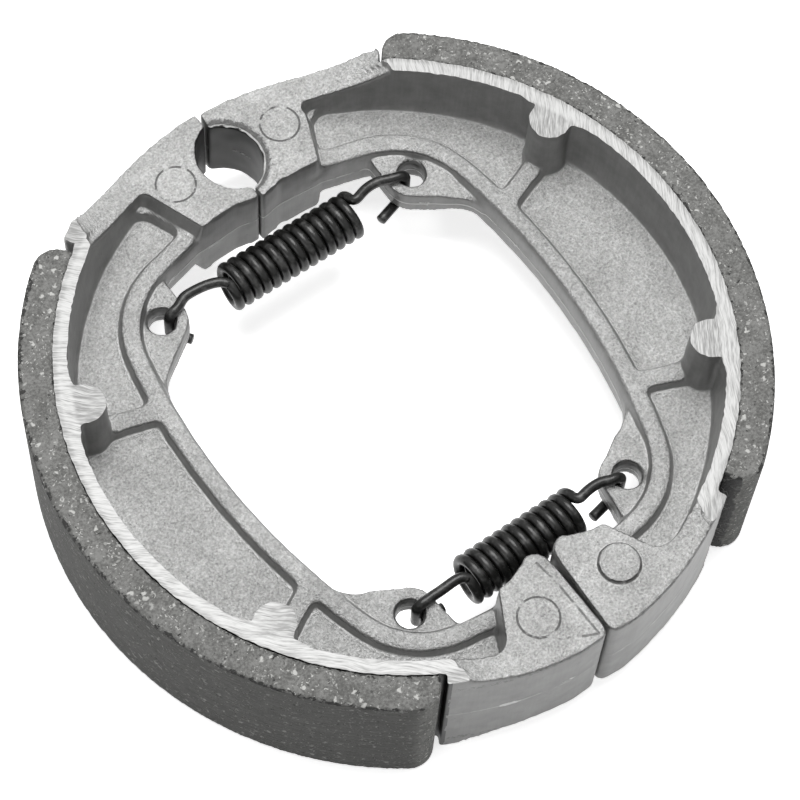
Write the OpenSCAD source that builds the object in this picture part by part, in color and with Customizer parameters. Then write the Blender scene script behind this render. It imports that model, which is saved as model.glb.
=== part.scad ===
// Pair of drum brake shoes, held together by two extension springs.
// The pair is drawn closed, as it lies loose: X across the pair, Y towards the anchor pin end,
// Z along the drum's axis. The origin is the middle of the drum, halfway through the width.

/* [Drum and lining] */
// Inside diameter of the drum that the linings run in
drum_d = 110; // [109.6:0.1:110.4]
// Thickness of the bonded friction lining
lining_t = 5; // [4.6:0.1:5.2]
// Radius of the lining's outer corners, seen along the drum's axis
lining_corner_r = 3.5; // [1:0.5:4]
// How far each side face of the lining stands back from the machined rim edge
lining_step = 0.1; // [0:0.05:0.5]
// Angle that each lining takes up round the drum
lining_arc = 112.6; // [111:0.2:113]
// Angle above the X axis where the left lining ends, at the anchor end
left_lining_top = 52.3; // [52:0.1:53]
// Angle above the X axis where the right lining ends, at the anchor end
right_lining_top = 56.4; // [55.6:0.1:56.6]

/* [Cast shoe] */
// Full width of the machined rim
shoe_w = 25; // [24:0.5:27]
// Thickness of the rim under the lining
rim_t = 2.5; // [2:0.1:3]
// Thickness of the web
web_t = 4.4; // [4:0.1:5]
// Thickness of the rail along the inner edge, and of the ribs
rail_t = 7.6; // [7:0.1:9]
// Width of the rail at its foot
rail_w = 4.1; // [3.6:0.1:4.3]
// Diameter of the two posts of each shoe
post_d = 6.1; // [5.5:0.1:6.5]
// Distance of a post from the middle of the rim's arc
post_r = 46.1; // [45.6:0.1:46.4]
// Diameter of the spring hole in each ear
ear_hole_d = 4; // [3.6:0.1:4.2]
// Width of metal round a spring hole
ear_w = 2.1; // [2:0.1:2.5]

/* [Anchor end] */
// Diameter of the anchor pin that the two half bores close on
pin_d = 13; // [12:0.1:13]
// Distance of the anchor pin from the drum's axis
pin_y = 43.15; // [42.8:0.05:43.5]
// Thickness of the anchor end block
anchor_t = 13.5; // [12:0.5:14]
// Outer radius of the shoe round the anchor block
anchor_r = 52.1; // [51.8:0.1:52.4]

/* [Cam end] */
// Thickness of the cam end block
cam_t = 20; // [19.6:0.2:21]
// Outer radius of the shoe round the cam block
cam_r = 51.6; // [51.4:0.1:52]
// Height of the round pad on one side of the cam block, above on the right and below on the left
high_pad = 1.1; // [0.5:0.1:1.2]
// Height of the round pad on the other side of the cam block
low_pad = 0.25; // [0.2:0.05:0.4]

/* [Set as it lies] */
// How far each shoe stands in from its place in the drum, with no pin or cam fitted
closing = 1.14; // [1:0.02:1.3]
// Distance of each half bore's centre past the joint line
bore_shift = 1.7; // [1.6:0.05:1.8]
// How far the left shoe has slipped towards the anchor end
left_slip = 0.25; // [0:0.05:0.4]

/* [Springs] */
// Wire diameter of both springs
wire_d = 1.6; // [1.4:0.1:1.6]
// Outer diameter of both coils
coil_d = 7.6; // [7:0.1:8]
// Turns in the anchor end spring
anchor_turns = 14; // [12:1:14]
// Turns in the cam end spring
cam_turns = 12; // [10:1:12]

/* [Hidden] */
$fn = 96;

alloy = [0.72, 0.72, 0.71];
friction_grey = [0.36, 0.36, 0.35];
oiled_black = [0.10, 0.10, 0.10];

lining_r = drum_d / 2;
seat_r = lining_r - lining_t;
bore_r = seat_r - rim_t;
half_w = shoe_w / 2;
half_web = web_t / 2;
half_rail = rail_t / 2;
half_anchor = anchor_t / 2;
half_cam = cam_t / 2;
arc_c = [-closing, 0];
past = 1;

// Gap left between the two shoes where they touch, and how far their end faces fall away
touch_gap = 0.03;
heel_gap = 0.17;
cam_gap = 0.47;
anchor_inner_y = 34.8;
cam_inner_y = -37.15;
cam_touch_y = -49.6;

// Inner edge of the rail: three arcs that run into each other, and a straight end on each side
side_c = [-75.57, 3.96];
side_r = 104.72;
top_r = 12.4;
low_r = 11.4;
top_a = 10.65;
low_a = -17.84;
top_line_a = 75.23;
low_line_a = -82.44;
top_line_len = 10;
low_line_len = 8;
seam = 0.02;
lap = 0.3;
lap_a = 1.5;

top_hole = [22.5, 27.6];
low_hole = [19.2, -30.8];
ear_r = ear_hole_d / 2 + ear_w;

// Angles of the two posts and of the ends of the lining seat on each shoe, the upper one first
left_posts = [23, -32.2];
right_posts = [24, -30.8];
left_seat = [53.8, -61.3];
right_seat = [57.4, -59.5];
top_rib_foot = [30.4, 14.8];
low_rib_foot = [29.4, -20.2];
rib_top_w = 3;
rib_foot_w = 4.2;

// Concave ramps that lead from the full width down to the two end blocks
anchor_ramp_x = 14;
anchor_ramp_r = 17;
cam_ramp_x = 10;
cam_ramp_r = 27.5;

cam_pad = [7, -43.5];
anchor_mark = [9.3, 43.6];
pad_r = 3.05;
mark_w = 0.35;
mark_deep = 0.15;

// Middle of each coil, and the plan of its two hooks: the hook on the right first. For each hook,
// a point that its upper strand runs through and the tip of its tail under the ear.
anchor_coil = [0.5, 27.8];
anchor_strands = [[16, 28.9], [-17, 28.9]];
anchor_tails = [[15.8, 25.9], [-19.1, 25.1]];
cam_coil = [0.4, -30.4];
cam_strands = [[13.8, -29.8], [-14.5, -30.5]];
cam_tails = [[12.7, -31.8], [-13.4, -30.9]];
coil_r = (coil_d - wire_d) / 2;
pitch = wire_d + 0.06;
hook_z = half_web + wire_d / 2 + 0.1;
bend_r = 1.3;
hole_ease = 0.5;
wire_sides = 8;
turn_steps = 12;

function on_circle(c, r, a) = [c[0] + r * cos(a), c[1] + r * sin(a)];
function arc(c, r, a0, a1, n) = [for (i = [0:n]) on_circle(c, r, a0 + (a1 - a0) * i / n)];

top_c = on_circle(side_c, side_r - top_r, top_a);
low_c = on_circle(side_c, side_r - low_r, low_a);

// Material side of the joint line, with the rounded outer corners of both end faces
module face_side() {
    corner = 1.6;
    heel = 0.8;
    polygon(concat(
        [[60, anchor_r + past], [heel_gap + heel, anchor_r]],
        arc([heel_gap + heel, anchor_r - heel], heel, 90, 180, 4),
        [[touch_gap, anchor_inner_y], [cam_gap, cam_inner_y]],
        arc([touch_gap + corner, cam_touch_y], corner, 180, 270, 8),
        [[60, -cam_r - past]]
    ));
}

// Window in the web, whose edge lies under the middle of the rail and inside the two end blocks
module window() {
    under = 1.3;
    polygon(concat(
        [[-past, anchor_inner_y + past], [10, anchor_inner_y + 2.2]],
        arc(top_c, top_r + under, top_line_a, top_a, 8),
        arc(side_c, side_r + under, top_a, low_a, 12),
        arc(low_c, low_r + under, low_a, low_line_a, 8),
        [[9, -38.4], [-past, -38.4]]
    ));
}

// Ears that carry the spring holes, each filling a corner of the window up to the rail
module anchor_ear() {
    polygon(concat(
        [[top_hole[0] - ear_r, 34]],
        arc(top_hole, ear_r, 178, 233, 8),
        arc([22.7, 15.9], 5.4, 54, 8, 6),
        [[30, 17], [30, 24], [24, 33]]
    ));
}

module cam_ear() {
    polygon(concat(
        arc([20.1, -18.4], 6.4, -8, -76, 7),
        arc(low_hole, ear_r + 0.1, 104, 180, 8),
        arc([13.2, -34.7], 1.4, 0, -83, 4),
        [[13.4, -37.5], [22, -36], [28, -25], [28.4, -20]]
    ));
}

// The rail's section: upright on the inside, sloped towards the pocket, with eased top edges
module rail_section(r, slim) {
    ease = 1;
    slope = 0.5;
    inner = slim;
    shoulder = rail_w - slim - slope;
    outer = rail_w - slim;
    top = half_rail - slim;
    root = half_web - 0.3;
    upper = concat(
        arc([inner + ease, top - ease], ease, 180, 90, 3),
        arc([shoulder - ease, top - ease], ease, 90, 0, 3),
        [[outer, root]]
    );
    lower = [for (i = [len(upper) - 1:-1:0]) [upper[i][0], -upper[i][1]]];
    translate([r, 0]) polygon(concat(upper, lower));
}

module rail_arc(c, r, a0, a1, slim) {
    translate([c[0], c[1], 0]) rotate([0, 0, a0])
        rotate_extrude(angle = a1 - a0, $fn = 180) rail_section(r, slim);
}

// Straight length of the rail along -Y in the frame of a circle at angle a, or +Y with turn -1
module rail_line(c, r, a, len, turn, slim) {
    translate([c[0], c[1], 0]) rotate([0, 0, a]) translate([0, turn * lap, 0])
        rotate([turn * 90, 0, 0]) linear_extrude(len) rail_section(r, slim);
}

// Each length of the rail starts a little way inside the one before it and is a hair slimmer
module rail() {
    rail_arc(side_c, side_r, low_a, top_a, 0);
    rail_arc(top_c, top_r, top_a - lap_a, top_line_a, seam);
    rail_arc(low_c, low_r, low_line_a, low_a + lap_a, seam);
    rail_line(top_c, top_r, top_line_a, top_line_len, -1, 2 * seam);
    rail_line(low_c, low_r, low_line_a, low_line_len, 1, 2 * seam);
}

// Straight rib from under the rail to inside a post
module rib(foot, post) {
    run = post - foot;
    top = half_rail - 0.1;
    root = half_web - 0.3;
    translate([foot[0], foot[1], 0]) rotate([0, 0, atan2(run[1], run[0])])
        rotate([90, 0, 90]) linear_extrude(norm(run) - post_d / 4) polygon([
            [-rib_top_w / 2, top], [rib_top_w / 2, top], [rib_foot_w / 2, root],
            [rib_foot_w / 2, -root], [rib_top_w / 2, -top], [-rib_top_w / 2, -top],
            [-rib_foot_w / 2, -root], [-rib_foot_w / 2, root]
        ]);
}

// Machined post, tapered a little for the mould
module post(p) {
    draft = 0.25;
    for (side = [0, 180])
        translate([p[0], p[1], 0]) rotate([side, 0, 0])
            cylinder(h = half_w, r1 = post_d / 2 + draft, r2 = post_d / 2);
}

// Section of the rim, with a fillet where it meets the web
module rim_section(outer_r) {
    fillet = 1.2;
    draft = 0.15;
    foot_r = bore_r - draft;
    difference() {
        polygon([
            [outer_r, -half_w], [outer_r, half_w], [bore_r, half_w],
            [foot_r, half_web + fillet], [foot_r - fillet, half_web + fillet],
            [foot_r - fillet, -half_web - fillet], [foot_r, -half_web - fillet], [bore_r, -half_w]
        ]);
        for (s = [-1, 1])
            translate([foot_r - fillet, s * (half_web + fillet)]) circle(fillet, $fn = 48);
    }
}

// Outer outline of the shoe: the lining seat at radius seat_r, and a step up to each end
module outer_outline(seat) {
    far = 2 * anchor_r;
    difference() {
        translate(arc_c) union() {
            circle(seat_r, $fn = 240);
            intersection() {
                circle(anchor_r, $fn = 240);
                polygon([[0, 0], on_circle([0, 0], far, seat[0]), [-far, far], [-far, 0]]);
            }
            intersection() {
                circle(cam_r, $fn = 240);
                polygon([[0, 0], on_circle([0, 0], far, seat[1]), [-far, -far], [-far, 0]]);
            }
        }
        translate([-2 * far, -far]) square([2 * far - 3, 2 * far]);
    }
}

module rim_wall(seat) {
    intersection() {
        translate([arc_c[0], arc_c[1], 0]) rotate([0, 0, -91])
            rotate_extrude(angle = 182, $fn = 240) rim_section(anchor_r + past);
        translate([0, 0, -half_w]) linear_extrude(shoe_w) outer_outline(seat);
    }
}

// Metal taken off one side of a shoe's end: flat over the block, then a concave ramp up to the
// full width. It is drawn in X and Z, and runs from y0 for 60 mm towards +Y.
module ramp_cut(x0, ramp_r, half_t, y0) {
    for (s = [0, 1]) mirror([0, 0, s])
        translate([0, y0 + 60, 0]) rotate([90, 0, 0]) linear_extrude(60) {
            translate([x0, half_t + ramp_r]) circle(ramp_r, $fn = 180);
            translate([-5, half_t]) square([x0 + 5, ramp_r]);
        }
}

// Anchor block, whose pocket side leans back at the mould's draft
module anchor_block() {
    side_foot = [10.6, 34.9];
    side_head = [14.3, 44.2];
    lean = 17;
    run = side_head - side_foot;
    difference() {
        translate([0, 0, -half_anchor - past]) linear_extrude(anchor_t + 2 * past) polygon(concat(
            [[-past, anchor_inner_y - 0.3], [touch_gap, anchor_inner_y - 0.1], [3.6, 35.35], side_foot],
            [side_foot + [1.2, 0.6]],
            arc([16.9, 41.3], 2.4, 158, 68, 6),
            [[17.5, 45.5], [10, 49], [-past, 49.5]]
        ));
        for (s = [0, 1]) mirror([0, 0, s])
            translate([side_foot[0], side_foot[1], half_web + 1.2]) rotate([0, 0, atan2(run[1], run[0])])
                rotate([-lean, 0, 0]) translate([-5, -9, 0]) cube([25, 8.4, 12]);
    }
}

module cam_block() {
    translate([0, 0, -half_cam - past]) linear_extrude(cam_t + 2 * past) polygon(concat(
        [[-past, -48], [-past, cam_inner_y]],
        arc([2.9, -37.65], 2.45, 172, 62, 6),
        [[7.2, -36.65]],
        arc([8.6, -37.85], 1.1, 78, 28, 3),
        arc([14.4, -42.45], 2, 208.5, 290, 6),
        [[14, -47], [8, -49]]
    ));
}

// Spring hole with eased edges, where the hook bends over
module ear_hole() {
    cylinder(h = shoe_w, d = ear_hole_d, center = true);
    for (side = [0, 180])
        rotate([side, 0, 0]) translate([0, 0, half_web - hole_ease])
            cylinder(h = 2 * hole_ease, d1 = ear_hole_d, d2 = ear_hole_d + 4 * hole_ease);
}

// One die casting. The two ends of its lining seat, its posts and its pads, above and below, differ
// from side to side: both shoes come from one mould, and the left one is turned over.
module shoe(seat, post_angles, pads) {
    posts = [for (a = post_angles) on_circle(arc_c, post_r, a)];
    difference() {
        intersection() {
            union() {
                translate([0, 0, -half_web]) linear_extrude(web_t) {
                    difference() {
                        translate(arc_c) circle(bore_r + past, $fn = 240);
                        window();
                    }
                    anchor_ear();
                    cam_ear();
                }
                rail();
                rib(top_rib_foot, posts[0]);
                rib(low_rib_foot, posts[1]);
                for (p = posts) post(p);
                difference() {
                    union() {
                        rim_wall(seat);
                        anchor_block();
                        cam_block();
                    }
                    ramp_cut(anchor_ramp_x, anchor_ramp_r, half_anchor, 0);
                    ramp_cut(cam_ramp_x, cam_ramp_r, half_cam, -60);
                }
                translate([cam_pad[0], cam_pad[1], -half_cam - pads[1]])
                    cylinder(h = cam_t + pads[0] + pads[1], r = pad_r);
            }
            translate([0, 0, -half_w]) linear_extrude(shoe_w) face_side();
        }
        translate([-bore_shift, pin_y, -half_w]) cylinder(h = shoe_w, d = pin_d);
        for (p = [top_hole, low_hole]) translate([p[0], p[1], 0]) ear_hole();
        translate([anchor_mark[0], anchor_mark[1], half_anchor - mark_deep]) difference() {
            cylinder(h = past, r = pad_r);
            translate([0, 0, -past]) cylinder(h = 3 * past, r = pad_r - mark_w);
        }
    }
}

// Bonded friction lining that ends at angle top_end, with its outer corners rounded in plan
module lining(top_end) {
    mid_r = lining_r - lining_corner_r;
    bend = asin(lining_corner_r / mid_r);
    low_end = top_end - lining_arc;
    far = 1.6 * lining_r;
    deep = seat_r - past;
    top_corner = on_circle([0, 0], mid_r, top_end - bend);
    low_corner = on_circle([0, 0], mid_r, low_end + bend);
    translate([arc_c[0], arc_c[1], -half_w + lining_step])
        linear_extrude(shoe_w - 2 * lining_step) difference() {
            intersection() {
                circle(lining_r, $fn = 240);
                polygon(concat(
                    arc([0, 0], far, low_end + bend, top_end - bend, 4),
                    arc(top_corner, lining_corner_r, top_end - bend, top_end + 90, 8),
                    [on_circle([0, 0], deep, top_end), on_circle([0, 0], deep, low_end)],
                    arc(low_corner, lining_corner_r, low_end - 90, low_end + bend, 8)
                ));
            }
            circle(seat_r, $fn = 240);
        }
}

// A shoe on its own side, right or left, set at its height in the pair as it lies
module on_left() {
    translate([0, left_slip, 0]) mirror([1, 0, 0]) children();
}

module left_shoe() {
    color(alloy) on_left() shoe(left_seat, left_posts, [low_pad, high_pad]);
}

module right_shoe() {
    color(alloy) shoe(right_seat, right_posts, [high_pad, low_pad]);
}

module left_lining() {
    color(friction_grey) on_left() lining(left_lining_top);
}

module right_lining() {
    color(friction_grey) lining(right_lining_top);
}

// Points of a smooth curve from p0 to p3 that leaves towards p1 and arrives from p2
function bezier(p0, p1, p2, p3, n) = [
    for (i = [1:n]) let (t = i / n, s = 1 - t)
        s * s * s * p0 + 3 * s * s * t * p1 + 3 * s * t * t * p2 + t * t * t * p3
];
function unit(v) = v / norm(v);
function at_height(p, z) = [p[0], p[1], z];

// One hook, drawn as if the coil lay along X with its middle at [0, 0] and this hook at +X:
// from the coil's last turn over the ear, down its hole and back under the ear
function hook(coil_end, strand, hole, tail) = let (
        leave = 70,
        top = [coil_end - pitch * (90 - leave) / 360, coil_r * cos(leave), coil_r * sin(leave)],
        grip = ear_hole_d / 2 - wire_d / 2 - 0.05,
        way_in = unit(hole - strand),
        way_out = unit(tail - hole),
        rest = hole - grip * unit(way_in - way_out),
        level = hook_z - bend_r,
        over = at_height(strand, hook_z),
        in_c = at_height(rest - bend_r * way_in, 0),
        out_c = at_height(rest + bend_r * way_out, 0),
        bend_in = in_c + [0, 0, hook_z]
    ) concat(
        bezier(top, top + [0.5, -1.5, 0.55], over - [2.6, 0, 0], over, 8),
        bezier(over, over + [1.6, 0, 0], bend_in - 1.4 * at_height(way_in, 0), bend_in, 5),
        [for (a = [67.5:-22.5:0])
            in_c + bend_r * cos(a) * at_height(way_in, 0) + [0, 0, level + bend_r * sin(a)]],
        [for (a = [0:22.5:90])
            out_c - bend_r * cos(a) * at_height(way_out, 0) - [0, 0, level + bend_r * sin(a)]],
        [at_height(tail, -hook_z)]
    );

// Half of a spring's centre line, from the coil's middle to the tip of one hook
function half_path(turns, strand, hole, tail) = let (
        steps = turns / 2 * turn_steps,
        coil_end = turns / 2 * pitch
    ) concat(
        [for (i = [0:steps - 1]) let (a = 90 + (i - steps) * 360 / turn_steps)
            [coil_end * i / steps, coil_r * cos(a), coil_r * sin(a)]],
        hook(coil_end, strand, hole, tail)
    );

// Turns a path by half a turn about the coil's middle and runs it backwards
function other_end(path) = [for (i = [len(path) - 1:-1:1]) [-path[i][0], -path[i][1], path[i][2]]];

// Direction of a path at each point, and a side direction carried along it without twist
function heading(path, i) = unit(path[min(i + 1, len(path) - 1)] - path[max(i - 1, 0)]);
function sideways(v, dir) = unit(v - (v * dir) * dir);

module wire(path) {
    n = len(path);
    sides = [
        for (i = 0, v = sideways([0, 1, 0.3], heading(path, 0)); i < n;
            i = i + 1, v = sideways(v, heading(path, min(i, n - 1)))) v
    ];
    rings = [
        for (i = [0:n - 1]) let (dir = heading(path, i), up = cross(dir, sides[i]))
            for (k = [0:wire_sides - 1]) let (a = k * 360 / wire_sides)
                path[i] + wire_d / 2 * (cos(a) * sides[i] + sin(a) * up)
    ];
    polyhedron(rings, concat(
        [[for (k = [wire_sides - 1:-1:0]) k]],
        [[for (k = [0:wire_sides - 1]) (n - 1) * wire_sides + k]],
        [
            for (i = [0:n - 2]) for (k = [0:wire_sides - 1]) for (half = [0, 1])
                let (a = i * wire_sides + k, b = i * wire_sides + (k + 1) % wire_sides)
                    half == 0 ? [a, b, b + wire_sides] : [a, b + wire_sides, a + wire_sides]
        ]
    ), convexity = 10);
}

module spring(turns, middle, strands, right_hole, tails) {
    left_hole = [-right_hole[0], right_hole[1] + left_slip];
    right_half = half_path(turns, strands[0] - middle, right_hole - middle, tails[0] - middle);
    left_half = half_path(turns, middle - strands[1], middle - left_hole, middle - tails[1]);
    color(oiled_black) translate([middle[0], middle[1], 0])
        wire(concat(other_end(left_half), right_half));
}

module anchor_spring() {
    spring(anchor_turns, anchor_coil, anchor_strands, top_hole, anchor_tails);
}

module cam_spring() {
    spring(cam_turns, cam_coil, cam_strands, low_hole, cam_tails);
}

left_shoe();
right_shoe();
left_lining();
right_lining();
anchor_spring();
cam_spring();
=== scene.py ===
import bpy
import bmesh
import math
from mathutils import Matrix, Vector, noise


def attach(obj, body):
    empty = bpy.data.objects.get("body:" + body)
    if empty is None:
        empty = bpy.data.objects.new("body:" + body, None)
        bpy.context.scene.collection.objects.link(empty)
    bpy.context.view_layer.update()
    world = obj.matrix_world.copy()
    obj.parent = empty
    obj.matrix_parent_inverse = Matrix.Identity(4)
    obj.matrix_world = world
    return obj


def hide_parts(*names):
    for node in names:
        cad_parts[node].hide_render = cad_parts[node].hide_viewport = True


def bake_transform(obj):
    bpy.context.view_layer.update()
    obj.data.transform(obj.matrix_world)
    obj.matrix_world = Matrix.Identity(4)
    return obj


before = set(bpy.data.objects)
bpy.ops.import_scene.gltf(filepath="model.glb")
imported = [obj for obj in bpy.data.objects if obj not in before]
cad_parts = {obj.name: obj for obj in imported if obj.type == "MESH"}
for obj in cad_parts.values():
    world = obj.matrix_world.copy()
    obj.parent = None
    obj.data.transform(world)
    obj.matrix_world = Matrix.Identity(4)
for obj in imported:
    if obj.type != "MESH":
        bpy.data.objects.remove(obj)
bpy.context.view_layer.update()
print("frame loaded")

mm = 0.001
halfWidth = 12.5        # half the machined width of the shoes
arcShift = 1.14         # each lining's arc centre lies this far past the joint line
seatRadius = 50.0       # where a shoe's rim and its lining meet

# settings that many nodes share
smoothStep = {"interpolation_type": "SMOOTHSTEP"}
colourMix = {"data_type": "RGBA"}


def linearColour(hexCode):
    channels = [int(hexCode[i:i + 2], 16) / 255 for i in (0, 2, 4)]
    return [c / 12.92 if c <= 0.04045 else ((c + 0.055) / 1.055) ** 2.4 for c in channels] + [1.0]


def addNode(tree, kind, settings={}, links={}):
    # each link is a plain value, a socket, or a node, which gives its first working output
    node = tree.nodes.new("ShaderNode" + kind)
    for name, value in settings.items():
        setattr(node, name, value)
    for name, value in links.items():
        if isinstance(value, bpy.types.Node):
            value = [socket for socket in value.outputs if socket.enabled][0]
        if isinstance(value, bpy.types.NodeSocket):
            tree.links.new(value, node.inputs[name])
        else:
            node.inputs[name].default_value = value
    return node


def newMaterial(name):
    material = bpy.data.materials.new(name)
    material.use_nodes = True
    material.node_tree.nodes.clear()
    return material, material.node_tree


def placeInMm(tree):
    # position on the piece in millimetres, and its X, Y and Z
    where = addNode(tree, "TexCoord")
    place = addNode(tree, "VectorMath", {"operation": "SCALE"}, {0: where.outputs["Object"], "Scale": 1000.0})
    split = addNode(tree, "SeparateXYZ", {}, {0: place})
    return place, split.outputs[0], split.outputs[1], split.outputs[2]


def roundTheArc(tree, x, y):
    # radius from the lining's arc centre, and the length run along the seat's arc, on either shoe
    side = addNode(tree, "Math", {"operation": "ABSOLUTE"}, {0: x})
    out = addNode(tree, "Math", {"operation": "ADD"}, {0: side, 1: arcShift})
    flat = addNode(tree, "CombineXYZ", {}, {0: out, 1: y})
    radius = addNode(tree, "VectorMath", {"operation": "LENGTH"}, {0: flat})
    angle = addNode(tree, "Math", {"operation": "ARCTAN2"}, {0: y, 1: out})
    run = addNode(tree, "Math", {"operation": "MULTIPLY"}, {0: angle, 1: seatRadius})
    return radius, run


# Pressure die-cast aluminium: a grey stippled skin on the faces the die shapes flat,
# and smoother flanks with drag marks where the casting was pushed out of the die, painted darker as shade.
# Sizes and places are in millimetres. A pin mark ends in the height it starts at, and a rub in its reach
castLook = {
    "pale": "FAFAF9", "dim": "888887", "flank": "7E7E7D", "stainAndShade": "4A4A49", "flash": "D4D4D3",
    "bore": "323231", "glue": "0C0C0B", "roughness": 0.42, "metal": 0.3,
    "stippleSize": 0.36, "stippleDepth": 0.42, "grainSize": 0.8, "blotchSize": 7, "contrast": 1.3,
    "dragWidth": 0.45, "dragLength": 6, "cloudSize": 3.2, "pitSize": 0.7, "raggedSize": 1.5, "spotSize": 4,
    "camBlocksFrom": -40.0, "tornHeight": 9.6, "tornBand": 0.45,
    "pinMarks": ((9.35, 43.7, 6.0), (7.0, -43.5, 9.3)), "pinRadius": 3.0, "pinGroove": 0.16,
    "outline": ((-2.37, -36.79), (-1.81, -40.09), (-1.48, -50.17), (-6.99, -47.51)), "outlineHeight": 9.3,
    "hookHoles": ((22.5, 27.7), (19.2, -30.7)), "boreCentre": (-1.7, 43.15), "insideOfRing": 42.0,
    "rubs": ((-15.0, -48.9, 0.0, 1.9), (-6.4, -51.8, 0.6, 1.5),
             (13.6, -50.8, 0.0, 1.0), (16.6, -50.1, 0.2, 1.1)), "rubFlatness": 3.5,
    "glueEnd": -61.3, "glueFrom": 49.6}


def castAluminium():
    look = castLook
    material, tree = newMaterial("die cast aluminium")
    place, x, y, z = placeInMm(tree)
    height = addNode(tree, "Math", {"operation": "ABSOLUTE"}, {0: z})
    side = addNode(tree, "Math", {"operation": "ABSOLUTE"}, {0: x})
    oneSide = addNode(tree, "CombineXYZ", {}, {0: side, 1: y})
    flat = addNode(tree, "CombineXYZ", {}, {0: x, 1: y})
    facing = addNode(tree, "SeparateXYZ", {}, {0: addNode(tree, "TexCoord").outputs["Normal"]})
    upright = addNode(tree, "Math", {"operation": "ABSOLUTE"}, {0: facing.outputs[2]})
    skin = addNode(tree, "MapRange", smoothStep, {0: upright, 1: 0.5, 2: 0.85})
    flank = addNode(tree, "Math", {"operation": "SUBTRACT"}, {0: 1.0, 1: skin})

    # skin: stipple, with a coarser grain and broad blotches in its tone
    stipple = addNode(tree, "TexNoise", {}, {"Vector": place, "Scale": 1 / look["stippleSize"],
                                             "Detail": 3.0, "Roughness": 0.7})
    grain = addNode(tree, "TexNoise", {}, {"Vector": place, "Scale": 1 / look["grainSize"],
                                           "Detail": 2.0, "Roughness": 0.6})
    blotch = addNode(tree, "TexNoise", {}, {"Vector": place, "Scale": 1 / look["blotchSize"], "Detail": 3.0})
    tone = addNode(tree, "Math", {"operation": "MULTIPLY_ADD"}, {0: blotch, 1: 0.25, 2: -0.125})
    tone = addNode(tree, "Math", {"operation": "MULTIPLY_ADD"}, {0: stipple, 1: 0.75, 2: tone})
    tone = addNode(tree, "Math", {"operation": "MULTIPLY_ADD"}, {0: grain, 1: 0.25, 2: tone})
    tone = addNode(tree, "MapRange", {}, {0: tone, 1: 0.25, 2: 0.8})
    tone = addNode(tree, "Math", {"operation": "POWER"}, {0: tone, 1: look["contrast"]})
    shade = addNode(tree, "Mix", colourMix,
                    {0: tone, 6: linearColour(look["dim"]), 7: linearColour(look["pale"])})

    # flanks: drag marks along the draw of the die, and clouds, on a darker grey that is painted shade
    drawn = addNode(tree, "VectorMath", {"operation": "MULTIPLY"},
                    {0: place, 1: (1 / look["dragWidth"], 1 / look["dragWidth"], 1 / look["dragLength"])})
    drag = addNode(tree, "TexNoise", {}, {"Vector": drawn, "Scale": 1.0, "Detail": 2.0, "Roughness": 0.6})
    dragAndShadeTone = addNode(tree, "MapRange", {}, {0: drag, 1: 0.3, 2: 0.7, 3: 0.94, 4: 1.05})
    cloud = addNode(tree, "TexNoise", {}, {"Vector": place, "Scale": 1 / look["cloudSize"],
                                           "Detail": 3.0, "Roughness": 0.6})
    clouded = addNode(tree, "MapRange", {}, {0: cloud, 1: 0.3, 2: 0.7, 3: 0.84, 4: 1.16})
    dragAndShadeTone = addNode(tree, "Math", {"operation": "MULTIPLY"}, {0: dragAndShadeTone, 1: clouded})
    # painted light and shade: the lower half of each flank is lighter and the upper half darker
    paintedHalfLight = addNode(tree, "MapRange", {}, {0: z, 1: -0.1, 2: 0.1, 3: 1.05, 4: 0.96})
    dragAndShadeTone = addNode(tree, "Math", {"operation": "MULTIPLY"}, {0: dragAndShadeTone, 1: paintedHalfLight})
    # the flank colour is painted shade: the upright walls are made darker than the skin
    wall = addNode(tree, "VectorMath", {"operation": "SCALE"},
                   {0: linearColour(look["flank"])[:3], "Scale": dragAndShadeTone})
    shade = addNode(tree, "Mix", colourMix, {0: flank, 6: shade, 7: wall})

    # dark pits in the skin, and a line of torn ones under the edges of the cam blocks
    pitNoise = addNode(tree, "TexNoise", {}, {"Vector": place, "Scale": 1 / look["pitSize"],
                                              "Detail": 3.0, "Roughness": 0.7})
    pits = addNode(tree, "MapRange", smoothStep, {0: pitNoise, 1: 0.66, 2: 0.74, 4: 0.55})
    under = addNode(tree, "Math", {"operation": "COMPARE"},
                    {0: height, 1: look["tornHeight"], 2: look["tornBand"]})
    torn = addNode(tree, "MapRange", smoothStep, {0: pitNoise, 1: 0.5, 2: 0.58, 4: 0.75})
    torn = addNode(tree, "Math", {"operation": "MULTIPLY"}, {0: torn, 1: under})
    torn = addNode(tree, "Math", {"operation": "MULTIPLY"}, {0: torn, 1: flank})
    camBlocks = addNode(tree, "Math", {"operation": "LESS_THAN"}, {0: y, 1: look["camBlocksFrom"]})
    torn = addNode(tree, "Math", {"operation": "MULTIPLY"}, {0: torn, 1: camBlocks})
    dark = addNode(tree, "Math", {"operation": "MAXIMUM"}, {0: pits, 1: torn})

    # rings left by the ejector pins
    ragged = addNode(tree, "TexNoise", {}, {"Vector": place, "Scale": 1 / look["raggedSize"], "Detail": 2.0})
    ragged = addNode(tree, "MapRange", smoothStep, {0: ragged, 1: 0.35, 2: 0.5})
    groove = 0.0
    for centreX, centreY, level in look["pinMarks"]:
        radius = addNode(tree, "VectorMath", {"operation": "DISTANCE"},
                         {0: oneSide, 1: (centreX, centreY, 0)})
        ring = addNode(tree, "Math", {"operation": "COMPARE"},
                       {0: radius, 1: look["pinRadius"], 2: look["pinGroove"]})
        top = addNode(tree, "Math", {"operation": "GREATER_THAN"}, {0: height, 1: level})
        ring = addNode(tree, "Math", {"operation": "MULTIPLY"}, {0: ring, 1: top})
        groove = addNode(tree, "Math", {"operation": "MAXIMUM"}, {0: groove, 1: ring})
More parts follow.
